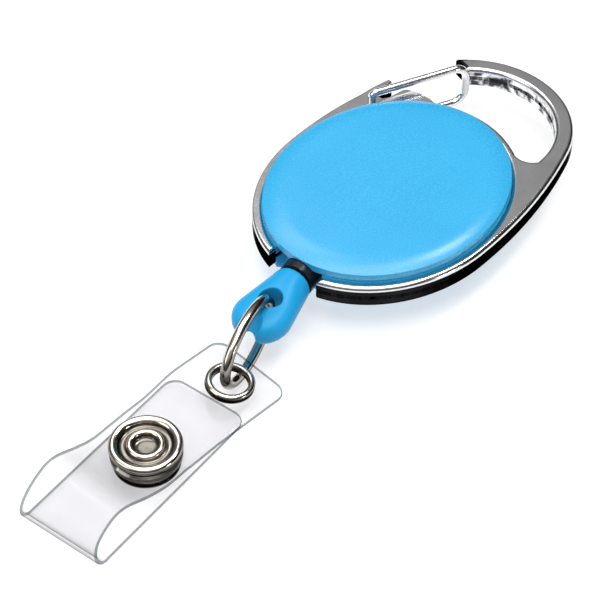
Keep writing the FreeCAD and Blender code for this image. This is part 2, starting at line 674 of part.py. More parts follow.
def make_ring():
    oval_path = Part.Ellipse(V(0, 0, 0), dim("ring_a"), dim("ring_b")).toShape()
    start = oval_path.valueAt(oval_path.FirstParameter)
    ahead = oval_path.tangentAt(oval_path.FirstParameter)
    section = Part.Wire(Part.makeCircle(dim("ring_wire") / 2, start, ahead))
    shape = Part.Wire(oval_path).makePipeShell([section], True, True)
    ring = feature("link_ring_solid", shape)
    upright_turn = FreeCAD.Rotation(X_AXIS, 90)
    pitch = FreeCAD.Rotation(Y_AXIS, -dim("ring_pitch"))
    yaw = FreeCAD.Rotation(Z_AXIS, dim("ring_yaw"))
    centre = V(dim("ring_x"), dim("ring_y"), dim("ring_z"))
    ring.Placement = FreeCAD.Placement(centre, yaw.multiply(pitch).multiply(upright_turn))
    return sub_part(ring, "link_ring")


# ---------------------------------------------------------------- strap


def strap_frame():
    """Placement of the strap's own frame: origin under the snap, X towards the ring."""
    return FreeCAD.Placement(V(dim("snap_x"), dim("snap_y"), 0),
                             FreeCAD.Rotation(Z_AXIS, dim("strap_yaw")))


def front_heading():
    return FreeCAD.Rotation(Z_AXIS, dim("front_yaw"))


def snap_point():
    return V(dim("snap_x"), dim("snap_y"), dim("high_strap_z"))


def eyelet_placement():
    """Eyelet's middle in the strap, tipped down towards the ring and rolled a little."""
    centre = V(dim("snap_x"), dim("snap_y"), dim("eyelet_strap_z"))
    centre += front_heading().multVec(V(dim("eyelet_reach"), 0, 0))
    tip = FreeCAD.Rotation(Y_AXIS, dim("eyelet_drop"))
    roll = FreeCAD.Rotation(X_AXIS, dim("eyelet_roll"))
    return FreeCAD.Placement(centre, front_heading().multiply(tip).multiply(roll))


def twisted_front(width, thick):
    """Stretch from the flat part over the snap to the eyelet's plane, turning as it goes."""
    start_x = dim("snap_flat")
    start_z = dim("high_strap_z")
    end = eyelet_placement().multVec(V(-dim("eyelet_flat"), 0, 0))
    end_x = math.hypot(end.x - dim("snap_x"), end.y - dim("snap_y"))
    run = end_x - start_x
    end_slope = -math.tan(math.radians(dim("eyelet_drop")))
    sections = []
    for i in range(8):
        t = i / 7
        ease = t * t * (3 - 2 * t)
        x = start_x + run * t
        z = start_z + (end.z - start_z) * ease - run * end_slope * t * t * (1 - t)
        slope = 6 * t * (1 - t) * (end.z - start_z) / run + end_slope * t * (3 * t - 2)
        tip = FreeCAD.Rotation(Y_AXIS, -math.degrees(math.atan(slope)))
        roll = FreeCAD.Rotation(X_AXIS, dim("eyelet_roll") * ease)
        middle = V(dim("snap_x"), dim("snap_y"), 0) + front_heading().multVec(V(x, 0, z))
        place = FreeCAD.Placement(middle, front_heading().multiply(tip).multiply(roll))
        corners = [(-width / 2, -thick / 2), (width / 2, -thick / 2), (width / 2, thick / 2),
                   (-width / 2, thick / 2), (-width / 2, -thick / 2)]
        sections.append(Part.makePolygon([place.multVec(V(0, y, up)) for y, up in corners]))
    return Part.makeLoft(sections, True, True)


def side_strip(points, thick, width):
    """Strip of even thickness whose side view follows a smooth curve through the points."""
    curve = Part.BSplineCurve()
    curve.interpolate([V(x, 0, z) for x, z in points])
    path = Part.Wire(curve.toShape())
    start = V(points[0][0], 0, points[0][1])
    ahead = curve.tangent(curve.FirstParameter)[0]
    up = ahead.cross(Y_AXIS) * -1
    half_w, half_t = width / 2, thick / 2
    corners = [start + Y_AXIS * sy * half_w + up * sz * half_t
               for sy, sz in ((-1, -1), (1, -1), (1, 1), (-1, 1), (-1, -1))]
    pipe = Part.BRepOffsetAPI.MakePipeShell(path)
    pipe.setFrenetMode(False)
    pipe.setBiNormalMode(Y_AXIS)
    pipe.add(Part.makePolygon(corners))
    pipe.build()
    pipe.makeSolid()
    return pipe.shape()


def round_end(length, width, thick, corner):
    """Flat plate from x = 0 to length, its far corners rounded."""
    plate = Part.makeBox(length, width, thick, V(0, -width / 2, -thick / 2))
    far = [edge for edge in plate.Edges if edge.BoundBox.ZLength > thick / 2
           and edge.BoundBox.XMin > length - 0.01]
    return plate.makeFillet(corner, far)


FOLD_TOP = [(-5.2, 2.75), (-7.4, 3.75), (-10.6, 6.0), (-13.2, 6.95), (-15.9, 5.8),
            (-17.25, 3.5), (-16.7, 1.45), (-14.6, 0.6)]


def make_strap_upper():
    """Eyelet layer and fold: rises from the eyelet, lies flat at the snap, turns down at the fold."""
    width, thick = dim("strap_width"), dim("strap_thick")
    flat = dim("snap_flat")
    fold = side_strip(FOLD_TOP, thick, width)
    fold.Placement = strap_frame()
    back_flat = Part.makeBox(flat, width, thick, V(-flat, -width / 2, -thick / 2))
    back_flat.Placement = FreeCAD.Placement(snap_point(), strap_frame().Rotation)
    front_flat = Part.makeBox(flat, width, thick, V(0, -width / 2, -thick / 2))
    front_flat.Placement = FreeCAD.Placement(snap_point(), front_heading())
    place = eyelet_placement()
    end = round_end(dim("eyelet_flat") + dim("strap_tail"), width, thick, dim("strap_corner"))
    end.Placement = place.multiply(FreeCAD.Placement(V(-dim("eyelet_flat"), 0, 0), FreeCAD.Rotation()))
    snap_hole = Part.makeCylinder(dim("snap_tube_r") + 0.02, 12, V(dim("snap_x"), dim("snap_y"), -1))
    eyelet_hole = Part.makeCylinder(dim("eyelet_bore") + 0.37, 6, place.multVec(V(0, 0, -3)),
                                    place.Rotation.multVec(Z_AXIS))
    shape = fold.fuse([back_flat, front_flat, twisted_front(width, thick), end])
    shape = shape.cut(snap_hole).cut(eyelet_hole)
    return sub_part(feature("strap_upper_solid", shape), "strap_upper")


def make_strap_lower():
    """Return layer that lies under the snap, with a rounded end."""
    length = dim("low_strap_length")
    plate = round_end(length, dim("strap_width"), dim("strap_thick"), dim("strap_corner"))
    start = V(dim("low_strap_reach") - length, 0, dim("low_strap_z"))
    plate.Placement = strap_frame().multiply(FreeCAD.Placement(start, FreeCAD.Rotation()))
    hole = Part.makeCylinder(dim("stud_hole_r"), 6, V(dim("snap_x"), dim("snap_y"), -1))
    return sub_part(feature("strap_lower_solid", plate.cut(hole)), "strap_lower")


def make_eyelet():
    """Grommet: rolled top rim and a tube through the strap."""
    points = [("eyelet_bore", "0 - 0.55"), ("eyelet_bore + 0.35", "0 - 0.55"),
              ("eyelet_bore + 0.35", "0.5 * strap_thick + 0.01"), ("eyelet_r", "0.5 * strap_thick + 0.01"),
              ("eyelet_r", "0.42"), ("eyelet_r - 0.25", "0.65"), ("eyelet_bore + 0.2", "0.65"),
              ("eyelet_bore", "0.45")]
    body = turned("eyelet_grommet_body", points)
    body.Placement = eyelet_placement()
    return sub_part(body, "eyelet_grommet")


def make_eyelet_washer():
    points = [("eyelet_bore + 0.37", "0 - 0.5 * strap_thick - 0.01"),
              ("eyelet_bore + 0.37", "0 - 0.55"), ("eyelet_r - 0.15", "0 - 0.55"),
              ("eyelet_r", "0 - 0.42"), ("eyelet_r", "0 - 0.5 * strap_thick - 0.01")]
    body = turned("eyelet_washer_body", points)
    body.Placement = eyelet_placement()
    return sub_part(body, "eyelet_washer")


def at_snap(body):
    body.setExpression("Placement.Base.x", "dims.snap_x")
    body.setExpression("Placement.Base.y", "dims.snap_y")
    return body


def make_snap_cap():
    """Top half of the snap: rolled rim, channel and a rolled tube through the strap."""
    points = [("snap_bore", "2.0"), ("snap_tube_r", "2.0"), ("snap_tube_r", "3.02"), ("3.9", "3.02"),
              ("snap_r - 0.15", "3.02"), ("snap_r", "3.3"), ("snap_r", "3.8"), ("snap_r - 0.3", "4.1"),
              ("snap_r - 0.8", "4.1"), ("snap_r - 1.1", "3.8"), ("snap_r - 1.1", "3.3"),
              ("snap_tube_r", "3.3"), ("snap_tube_r", "3.85"), ("snap_tube_r - 0.25", "4.1"),
              ("snap_bore + 0.25", "4.1"), ("snap_bore", "3.85")]
    return sub_part(at_snap(turned("snap_cap_body", points)), "snap_cap")


def make_snap_socket():
    """Cup under the upper layer that the stud clicks into."""
    points = [("socket_bore", "1.3"), ("4.6", "1.3"), ("4.9", "1.6"), ("4.9", "2.2"), ("4.6", "2.48"),
              ("snap_tube_r + 0.02", "2.48"), ("snap_tube_r + 0.02", "1.98"), ("3.1", "1.98"),
              ("3.1", "1.55"), ("socket_bore", "1.55")]
    return sub_part(at_snap(turned("snap_socket_body", points)), "snap_socket")


def make_snap_spring():
    """Wire spring that grips the stud, split at one side."""
    ring = doc.addObject("Part::Torus", "snap_spring_torus")
    bind(ring, Radius1="2.6", Radius2="0.2")
    ring.Placement = FreeCAD.Placement(V(dim("snap_x"), dim("snap_y"), 1.77), FreeCAD.Rotation())
    gap = box("snap_spring_gap", ("snap_x - 0.6", "snap_y", "0"), ("1.2", "4", "4"))
    return sub_part(cut("snap_spring_solid", ring, gap), "snap_ring_spring")


def make_snap_stud():
    points = [("1.22", "low_strap_z"), ("1.22", "0.86"), ("4.5", "0.86"), ("4.5", "1.0"),
              ("4.3", "1.12"), ("1.6", "1.12"), ("1.6", "1.4"), ("stud_r", "1.65"), ("1.5", "1.92"),
              ("0", "1.92"), ("0", "1.7"), ("1.0", "1.7"), ("1.0", "low_strap_z")]
    return sub_part(at_snap(turned("snap_stud_body", points)), "snap_stud")


def make_snap_base():
    points = [("0", "0"), ("4.4", "0"), ("4.6", "0.15"), ("4.6", "0.34"), ("0.98", "0.34"),
              ("0.98", "1.6"), ("0", "1.6")]
    return sub_part(at_snap(turned("snap_base_body", points)), "snap_base")


BUILDERS = [
    make_frame, make_gate, make_front_cover, make_rear_cover, make_cord_guide, make_axle_post,
    make_centre_screw, make_screw_plug, make_thrust_washer, make_drum, make_spring_disc, make_spring,
    make_winding, make_drum_knot, make_cord_lead, make_ferrule, make_connector, make_connector_knot,
    make_ring, make_strap_upper, make_strap_lower, make_eyelet, make_eyelet_washer, make_snap_cap,
    make_snap_socket, make_snap_spring, make_snap_stud, make_snap_base,
]

for builder in BUILDERS:
    builder()
doc.recompute()

for thing in doc.Objects:
    if "Invalid" in thing.State or "Error" in thing.State:
        raise RuntimeError("failed: " + thing.Label)

os.makedirs("parts", exist_ok=True)
for thing in sub_parts:
    shape = thing.Shape
    if shape.isNull() or not shape.isValid():
        raise RuntimeError("bad shape: " + thing.Label)
    shape.exportStep("parts/%s.step" % thing.Label)
    print("%-20s solids %d volume %.2f" % (thing.Label, len(shape.Solids), shape.Volume))
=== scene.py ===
import bpy
import bmesh
import json
import math
from mathutils import Matrix, Vector
from mathutils.geometry import tessellate_polygon

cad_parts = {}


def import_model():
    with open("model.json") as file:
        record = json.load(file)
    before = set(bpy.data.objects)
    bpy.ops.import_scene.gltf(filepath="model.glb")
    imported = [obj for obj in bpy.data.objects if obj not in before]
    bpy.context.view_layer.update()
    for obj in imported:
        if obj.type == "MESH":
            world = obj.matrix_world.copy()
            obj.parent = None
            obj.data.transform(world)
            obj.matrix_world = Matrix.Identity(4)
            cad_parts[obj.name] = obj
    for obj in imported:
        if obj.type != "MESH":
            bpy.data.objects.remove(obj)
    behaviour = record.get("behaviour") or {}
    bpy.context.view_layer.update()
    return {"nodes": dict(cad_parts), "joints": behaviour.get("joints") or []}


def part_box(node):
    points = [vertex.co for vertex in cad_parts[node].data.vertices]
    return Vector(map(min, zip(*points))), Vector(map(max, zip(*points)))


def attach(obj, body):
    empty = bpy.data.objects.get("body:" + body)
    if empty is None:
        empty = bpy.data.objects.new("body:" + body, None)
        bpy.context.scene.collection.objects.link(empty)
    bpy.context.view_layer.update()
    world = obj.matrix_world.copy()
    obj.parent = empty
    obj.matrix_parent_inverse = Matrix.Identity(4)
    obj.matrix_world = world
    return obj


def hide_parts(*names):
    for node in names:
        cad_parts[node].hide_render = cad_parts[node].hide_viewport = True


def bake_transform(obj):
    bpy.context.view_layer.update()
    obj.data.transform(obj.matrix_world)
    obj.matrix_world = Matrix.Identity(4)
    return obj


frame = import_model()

MM = 0.001
nodes = frame["nodes"]
scene = bpy.context.scene
scene.view_settings.view_transform = "Standard"


# ---------------------------------------------------------------- camera

TURN = math.radians(48.82)
LIFT = math.radians(46.14)
ROLL = math.radians(0.24)
EYE = Vector((-168.399, -130.533, 206.097)) * MM

across = Vector((math.cos(TURN), -math.sin(TURN), 0))
ahead = Vector((math.sin(TURN) * math.cos(LIFT), math.cos(TURN) * math.cos(LIFT), -math.sin(LIFT)))
above = across.cross(ahead)
roll_turn = Matrix.Rotation(-ROLL, 3, ahead)
camera_data = bpy.data.cameras.new("camera")
camera = bpy.data.objects.new("camera", camera_data)
scene.collection.objects.link(camera)
scene.camera = camera
camera_data.sensor_width = 36
camera_data.lens = 120
camera_data.clip_start = 0.01
camera_data.clip_end = 10
turned = roll_turn @ Matrix((across, above, -ahead)).transposed()
camera.matrix_world = Matrix.Translation(EYE) @ turned.to_4x4()


# ---------------------------------------------------------------- materials

def shader(name, colour, **sockets):
    """New Principled material. Returns the material, its node tree and the Principled node."""
    material = bpy.data.materials.new(name)
    material.use_nodes = True
    tree = material.node_tree
    principled = tree.nodes["Principled BSDF"]
    principled.inputs["Base Color"].default_value = (*colour, 1)
    for socket, value in sockets.items():
        principled.inputs[socket.replace("_", " ")].default_value = value
    return material, tree, principled


def noise(tree, scale, detail=2.0, rough=0.5):
    """Noise in the object's own coordinates, from 0 to 1."""
    place = tree.nodes.new("ShaderNodeTexCoord")
    node = tree.nodes.new("ShaderNodeTexNoise")
    node.inputs["Scale"].default_value = scale
    node.inputs["Detail"].default_value = detail
    node.inputs["Roughness"].default_value = rough
    tree.links.new(place.outputs["Object"], node.inputs["Vector"])
    return node.outputs["Fac"]


def ramp(tree, source, low, high, low_value, high_value):
    """source from low to high gives low_value to high_value."""
    node = tree.nodes.new("ShaderNodeMapRange")
    node.inputs["From Min"].default_value = low
    node.inputs["From Max"].default_value = high
    node.inputs["To Min"].default_value = low_value
    node.inputs["To Max"].default_value = high_value
    tree.links.new(source, node.inputs["Value"])
    return node.outputs["Result"]


def bump(tree, principled, height, distance, strength=1.0):
    """Adds relief of that depth in metres, on top of any relief that is there."""
    node = tree.nodes.new("ShaderNodeBump")
    node.inputs["Strength"].default_value = strength
    node.inputs["Distance"].default_value = distance
    tree.links.new(height, node.inputs["Height"])
    previous = principled.inputs["Normal"]
    if previous.is_linked:
        tree.links.new(previous.links[0].from_socket, node.inputs["Normal"])
    tree.links.new(node.outputs["Normal"], previous)


def tint(tree, principled, source, low_colour, high_colour):
    """Base colour that goes from one colour to the other with source."""
    node = tree.nodes.new("ShaderNodeMix")
    node.data_type = "RGBA"
    node.inputs["A"].default_value = (*low_colour, 1)
    node.inputs["B"].default_value = (*high_colour, 1)
    tree.links.new(source, node.inputs["Factor"])
    tree.links.new(node.outputs["Result"], principled.inputs["Base Color"])


def paint_flank_shade(tree, principled, flank, upright):
    """Painted shade: multiplies the base colour by flank where the surface stands upright, in uneven
    patches.
    """
    place = tree.nodes.new("ShaderNodeTexCoord")
    split = tree.nodes.new("ShaderNodeSeparateXYZ")
    tree.links.new(place.outputs["Normal"], split.inputs["Vector"])
    level = tree.nodes.new("ShaderNodeMath")
    level.operation = "ABSOLUTE"
    tree.links.new(split.outputs["Z"], level.inputs[0])
    uneven = tree.nodes.new("ShaderNodeMath")
    uneven.operation = "MULTIPLY_ADD"
    uneven.inputs[1].default_value = 0.5
    tree.links.new(noise(tree, 300, 3), uneven.inputs[0])
    tree.links.new(level.outputs["Value"], uneven.inputs[2])
    darker = tree.nodes.new("ShaderNodeMix")
    darker.data_type = "RGBA"
    darker.blend_type = "MULTIPLY"
    darker.inputs["Factor"].default_value = 1.0
    base = principled.inputs["Base Color"]
    tree.links.new(base.links[0].from_socket, darker.inputs["A"])
    tree.links.new(ramp(tree, uneven.outputs["Value"], 0.25, upright + 0.25, flank, 1), darker.inputs["B"])
    tree.links.new(darker.outputs["Result"], base)


def metal(name, colour, rough, rough_spread, worn, flank=1.0, upright=0.8):
    """Metal with faint smears in its polish, an uneven tone and painted shade on its upright flanks."""
    material, tree, principled = shader(name, colour, Metallic=1.0, Roughness=rough)
    smear = noise(tree, 420, 4)
    tree.links.new(ramp(tree, smear, 0.35, 0.65, rough - rough_spread, rough + rough_spread),
                   principled.inputs["Roughness"])
    tint(tree, principled, ramp(tree, noise(tree, 160, 3), 0.35, 0.65, 0, 1), worn, colour)
    # a flank below 1 paints shade onto the upright flanks
    if flank < 1:
        paint_flank_shade(tree, principled, flank, upright)
    return material


def plastic(name, colour, deep, rough, grain_scale, grain_height):
    """Moulded plastic with a fine spark-eroded grain."""
    material, tree, principled = shader(name, colour, Roughness=rough)
    principled.inputs["IOR"].default_value = 1.5
    tint(tree, principled, ramp(tree, noise(tree, 90, 2), 0.35, 0.65, 0, 1), deep, colour)
    grain = noise(tree, grain_scale, 3, 0.6)
    bump(tree, principled, grain, grain_height)
    bump(tree, principled, noise(tree, grain_scale * 0.18, 2), grain_height * 1.5)
    tree.links.new(ramp(tree, grain, 0.3, 0.7, rough - 0.05, rough + 0.05), principled.inputs["Roughness"])
    return material


blue = plastic("blue_plastic", (0.036, 0.390, 0.700), (0.032, 0.372, 0.680), 0.27, 5200, 0.000006)
blue_gloss = plastic("blue_link_plastic", (0.014, 0.330, 0.650), (0.012, 0.312, 0.625), 0.36, 3000, 0.000004)
blue_gloss.node_tree.nodes["Principled BSDF"].inputs["Specular IOR Level"].default_value = 0.22
black = plastic("black_plastic", (0.010, 0.010, 0.011), (0.007, 0.007, 0.008), 0.30, 2600, 0.000008)
natural = plastic("natural_plastic", (0.75, 0.75, 0.70), (0.70, 0.70, 0.66), 0.45, 3000, 0.000004)
satin = metal("frame_satin", (0.79, 0.785, 0.79), 0.17, 0.03, (0.74, 0.735, 0.74))
# painted shade: the frame's walls and lower edges, the same metal as its top painted near black for the dark
# surroundings they mirror
painted_wall_shade = metal("frame_painted_wall_shade", (0.026, 0.026, 0.028), 0.20, 0.05, (0.013, 0.013, 0.014))
painted_wall_shade.node_tree.nodes["Principled BSDF"].inputs["Specular Tint"].default_value = (0, 0, 0, 1)
bright_wire = metal("bright_wire", (0.96, 0.96, 0.97), 0.16, 0.03, (0.93, 0.93, 0.94), 0.62, 0.30)
nickel = metal("nickel", (0.70, 0.65, 0.58), 0.14, 0.05, (0.60, 0.55, 0.48), 0.10, 0.75)
# painted shade: a darker nickel for the snap's hole and channel and the eyelet's bore, where the recesses
# lie in shade
recess_shade = metal("nickel_channel_painted_shade", (0.24, 0.22, 0.195), 0.20, 0.08, (0.05, 0.046, 0.04), 0.05, 0.9)
steel = metal("steel", (0.55, 0.55, 0.56), 0.25, 0.05, (0.48, 0.48, 0.49))
spring_blue = metal("spring_strip", (0.20, 0.22, 0.28), 0.22, 0.05, (0.14, 0.15, 0.20))


def cord_material():
    """Braided nylon: crossing diagonal ribs in the bump."""
    material, tree, principled = shader("cord", (0.012, 0.012, 0.013), Roughness=0.7)
    place = tree.nodes.new("ShaderNodeTexCoord")
    height = None
    for angle in (0.7, -0.7):
        turn = tree.nodes.new("ShaderNodeMapping")
        turn.inputs["Rotation"].default_value = (angle, angle, angle)
        tree.links.new(place.outputs["Object"], turn.inputs["Vector"])
        wave = tree.nodes.new("ShaderNodeTexWave")
        wave.inputs["Scale"].default_value = 900
        tree.links.new(turn.outputs["Vector"], wave.inputs["Vector"])
        height = wave.outputs["Fac"]
        bump(tree, principled, height, 0.00004, 0.6)
    tint(tree, principled, height, (0.006, 0.006, 0.007), (0.020, 0.020, 0.022))
    return material


cord_black = cord_material()


def paint_chrome_reflections():
    """Polished inner wall with painted reflections: dark and bright patches in its base colour, as a curved
    mirror among dark things shows.
    """
    material, tree, principled = shader("inner_chrome_painted_reflections", (0.9, 0.9, 0.9), Metallic=1.0, Roughness=0.1)
    # painted reflections: dark and bright patches in the base colour
    painted_reflections = ramp(tree, noise(tree, 520, 3), 0.42, 0.56, 0, 1)
    tint(tree, principled, painted_reflections, (0.05, 0.05, 0.06), (0.86, 0.87, 0.89))
    return material


inner_chrome_painted_reflections = paint_chrome_reflections()


def clear_vinyl(name, colour, glance_power, mirror_colour, rough):
    """Clear sheet: lets what is behind through and mirrors more at a glancing angle."""
    material = bpy.data.materials.new(name)
    material.use_nodes = True
    tree = material.node_tree
    tree.nodes.remove(tree.nodes["Principled BSDF"])
    output = tree.nodes["Material Output"]
    through = tree.nodes.new("ShaderNodeBsdfTransparent")
    through.inputs["Color"].default_value = (*colour, 1)
    mirror = tree.nodes.new("ShaderNodeBsdfGlossy")
    mirror.inputs["Roughness"].default_value = rough
    mirror.inputs["Color"].default_value = (*mirror_colour, 1)
    facing = tree.nodes.new("ShaderNodeLayerWeight")
    facing.inputs["Blend"].default_value = 0.5
    steep = tree.nodes.new("ShaderNodeMath")
    steep.operation = "POWER"
    steep.inputs[1].default_value = glance_power
    tree.links.new(facing.outputs["Facing"], steep.inputs[0])
    mix = tree.nodes.new("ShaderNodeMixShader")
    tree.links.new(ramp(tree, steep.outputs["Value"], 0, 1, 0.03, 0.9), mix.inputs["Fac"])
    tree.links.new(through.outputs["BSDF"], mix.inputs[1])
    tree.links.new(mirror.outputs["BSDF"], mix.inputs[2])
    tree.links.new(mix.outputs["Shader"], output.inputs["Surface"])
    ripple = tree.nodes.new("ShaderNodeBump")
    ripple.inputs["Strength"].default_value = 0.5
    ripple.inputs["Distance"].default_value = 0.00003
    tree.links.new(noise(tree, 130, 2), ripple.inputs["Height"])
    tree.links.new(ripple.outputs["Normal"], mirror.inputs["Normal"])
    return material


vinyl = clear_vinyl("clear_vinyl", (0.982, 0.980, 0.986), 3.2, (0.14, 0.145, 0.145), 0.06)
vinyl_edge = clear_vinyl("clear_vinyl_edge", (0.40, 0.43, 0.43), 4, (0.16, 0.17, 0.17), 0.15)

CAD_FINISH = {
    "carabiner_frame": satin, "gate_wire": bright_wire, "front_cover": blue, "rear_cover": blue,
    "cord_guide": black, "axle_post": steel, "centre_screw": steel, "screw_plug": blue,
    "thrust_washer": natural, "drum": natural, "spring_cover_disc": natural,
    "spiral_spring": spring_blue, "cord_winding": cord_black, "drum_knot": cord_black,
    "cord_lead": cord_black, "cord_ferrule": black, "cord_end_connector": blue_gloss,
    "connector_knot": cord_black, "link_ring": nickel, "strap_upper": vinyl, "strap_lower": vinyl,
    "eyelet_grommet": nickel, "eyelet_washer": nickel, "snap_cap": nickel, "snap_socket": nickel,
    "snap_ring_spring": steel, "snap_stud": nickel, "snap_base": nickel,
}
for node_name, finish in CAD_FINISH.items():
    for holder in nodes[node_name].material_slots:
        holder.material = finish


# ---------------------------------------------------------------- mesh helpers

def add_object(name, mesh, *finishes):
    """New object with these materials."""
    thing = bpy.data.objects.new(name, mesh)
    scene.collection.objects.link(thing)
    for finish in finishes:
        mesh.materials.append(finish)
    return thing


def shade(mesh, degrees):
    """Smooth shading with edges sharper than degrees left sharp."""
    mesh.shade_smooth()
    mesh.set_sharp_from_angle(angle=math.radians(degrees))


def apply_modifiers(thing):
    """Bakes the object's modifiers into its mesh."""
    graph = bpy.context.evaluated_depsgraph_get()
    made = bpy.data.meshes.new_from_object(thing.evaluated_get(graph))
    thing.modifiers.clear()
    old = thing.data
    thing.data = made
    bpy.data.meshes.remove(old)


def outward_mesh(name, verts, faces, kinds, merge=None):
    """Mesh with its normals outward and a material index per face; nearer points than merge become one."""
    mesh = bpy.data.meshes.new(name)
    mesh.from_pydata(verts, [], faces)
    mesh.polygons.foreach_set("material_index", kinds)
    work = bmesh.new()
    work.from_mesh(mesh)
    if merge:
        bmesh.ops.remove_doubles(work, verts=work.verts, dist=merge)
    bmesh.ops.recalc_face_normals(work, faces=work.faces)
    work.to_mesh(mesh)
    work.free()
    return mesh


def lathe(name, profile, finishes, place, shaded_radii, facets=96):
    """Closed profile of (radius, height) in mm turned about Z, with the second material, here painted shade,
    between some radii.
    """
    verts, faces, kinds = [], [], []
    for r, z in profile:
        for k in range(facets):
            turn = 2 * math.pi * k / facets
            verts.append((r * math.cos(turn) * MM, r * math.sin(turn) * MM, z * MM))
    for i in range(len(profile)):
        j = (i + 1) % len(profile)
        inside = any(low < min(profile[i][0], profile[j][0]) and max(profile[i][0], profile[j][0]) < high
                     for low, high in shaded_radii)
        for k in range(facets):
            m = (k + 1) % facets
            faces.append((i * facets + k, i * facets + m, j * facets + m, j * facets + k))
            kinds.append(1 if inside else 0)
    mesh = outward_mesh(name, verts, faces, kinds, 1e-7)
    mesh.transform(place)
    shade(mesh, 50)
    return add_object(name, mesh, *finishes)


CUTTER_LENGTH = 12 * MM


def cut_through(thing, centre, axis, radius):
    """Round hole or channel of that radius in mm, through the object along axis."""
    mesh = bpy.data.meshes.new("cutter")
    work = bmesh.new()
    bmesh.ops.create_cone(work, cap_ends=True, segments=64, radius1=radius * MM, radius2=radius * MM,
                          depth=CUTTER_LENGTH)
    work.to_mesh(mesh)
    work.free()
    cutter = bpy.data.objects.new("cutter", mesh)
    scene.collection.objects.link(cutter)
    turned_to = Vector(axis).to_track_quat("Z", "Y").to_matrix().to_4x4()
    cutter.matrix_world = Matrix.Translation(centre) @ turned_to
    hole = thing.modifiers.new("hole", "BOOLEAN")
    hole.operation = "DIFFERENCE"
    hole.solver = "EXACT"
    hole.object = cutter
    bpy.context.view_layer.update()
    apply_modifiers(thing)
    bpy.data.objects.remove(cutter)


# ---------------------------------------------------------------- carabiner frame

SHARP_CORNER = 28
LEAST_MITER = 0.6
ROUND_STEPS = 5
FLAT_FACE, EDGE_ROUND, WALL, OPENING_WALL = 0, 1, 2, 3


def section_loop(node, level):
    """Longest closed outline of a CAD node cut at that height, as a list of points."""
    work = bmesh.new()
    work.from_mesh(nodes[node].data)
    bmesh.ops.remove_doubles(work, verts=work.verts, dist=1e-6)
    bmesh.ops.bisect_plane(work, geom=work.verts[:] + work.edges[:] + work.faces[:], dist=1e-7,
                           plane_co=(0, 0, level), plane_no=(0, 0, 1), clear_inner=True, clear_outer=True)
    used = set()
    loops = []
    for first in work.edges:
        if first in used:
            continue
        used.add(first)
        start, here = first.verts
        loop = [start.co.xy.copy(), here.co.xy.copy()]
        while here is not start:
            edge = next(e for e in here.link_edges if e not in used)
            used.add(edge)
            here = edge.other_vert(here)
            loop.append(here.co.xy.copy())
        loop.pop()
        loops.append(loop)
    work.free()
    return max(loops, key=len)


def turning(loop, i):
    """Degrees that a closed outline turns at its point i."""
    arrive = loop[i] - loop[i - 1]
    leave = loop[(i + 1) % len(loop)] - loop[i]
    return math.degrees(arrive.angle(leave, 0))


def tidy_loop(loop, shortest, clear):
    """Outline run anticlockwise, without points nearly on top of each other or crowding a corner."""
    area = sum(a.x * b.y - b.x * a.y for a, b in zip(loop, loop[1:] + loop[:1]))
    if area < 0:
        loop = loop[::-1]
    kept = [loop[0]]
    for point in loop[1:]:
        if (point - kept[-1]).length > shortest:
            kept.append(point)
    corners = [kept[i] for i in range(len(kept)) if turning(kept, i) > SHARP_CORNER]
    return [point for point in kept if point in corners
            or all((point - corner).length > clear for corner in corners)]


def bevelled_plate(name, loop, low, high, edge, finishes, slim=lambda point: 1.0):
    """Plate over a closed outline, with rounded edges; its walls and lower edge share one material, here the
    painted wall shade.
    """
    count = len(loop)
    ways = [(loop[(i + 1) % count] - loop[i]).normalized() for i in range(count)]
    outs = [Vector((way.y, -way.x)) for way in ways]
    miters, sharp = [], []
    for i in range(count):
        a, b = outs[i - 1], outs[i]
        middle = (a + b).normalized()
        miters.append(middle / max(middle.dot(b), LEAST_MITER) * slim(loop[i]))
        sharp.append(math.degrees(a.angle(b, 0)) > SHARP_CORNER)
    rings = [(0.0, low + edge, 0.0), (0.0, high - edge, 0.0)]
    for k in range(1, ROUND_STEPS + 1):
        turn = math.pi / 2 * k / ROUND_STEPS
        inset = edge * (1 - math.cos(turn))
        rings.append((inset, high - edge + edge * math.sin(turn), turn))
        rings.insert(0, (inset, low + edge - edge * math.sin(turn), -turn))
    verts = [(*(point - miter * inset), z) for inset, z, _ in rings for point, miter in zip(loop, miters)]
    faces, corners, kinds = [], [], []
    for j in range(len(rings) - 1):
        for i in range(count):
            k = (i + 1) % count
            faces.append((j * count + i, j * count + k, (j + 1) * count + k, (j + 1) * count + i))
            for at, ring in ((i, j), (k, j), (k, j + 1), (i, j + 1)):
                flat = outs[i] if sharp[at] else (outs[at - 1] + outs[at]).normalized()
                turn = rings[ring][2]
                corners.append((*(flat * math.cos(turn)), math.sin(turn)))
            kinds.append(EDGE_ROUND if rings[j + 1][2] > 0 else WALL)
    mesh = bpy.data.meshes.new(name)
    top = [Vector(v) for v in verts[-count:]]
    for triangle in tessellate_polygon([top]):
        a, b, c = (top[k] for k in triangle)
        if (b - a).cross(c - a).z < 0:
            triangle = triangle[::-1]
        base = (len(rings) - 1) * count
        faces.append(tuple(base + k for k in triangle))
        corners += [(0, 0, 1)] * 3
        faces.append(tuple(reversed(triangle)))
        corners += [(0, 0, -1)] * 3
        kinds += [FLAT_FACE, FLAT_FACE]
    mesh.from_pydata(verts, [], faces)
    mesh.polygons.foreach_set("material_index", kinds)
    mesh.shade_smooth()
    mesh.normals_split_custom_set(corners)
    mesh.validate()
    return add_object(name, mesh, *finishes)


frame_low, frame_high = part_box("carabiner_frame")
SLOT_CENTRE = Vector((18.3, 13.6)) * MM


def limited(value):
    return min(max(value, 0), 1)


def edge_share(point):
    """Share of the full edge round there: less beside the gate's slot and along the gate side."""
    distance = (point - SLOT_CENTRE).length / MM
    by_slot = 0.4 + 0.6 * limited((distance - 3.6) / 2.0)
    gate_side = limited((point.y / MM - 4) / 6) * limited((14 - point.x / MM) / 6)
    return min(by_slot, 1 - 0.55 * gate_side)


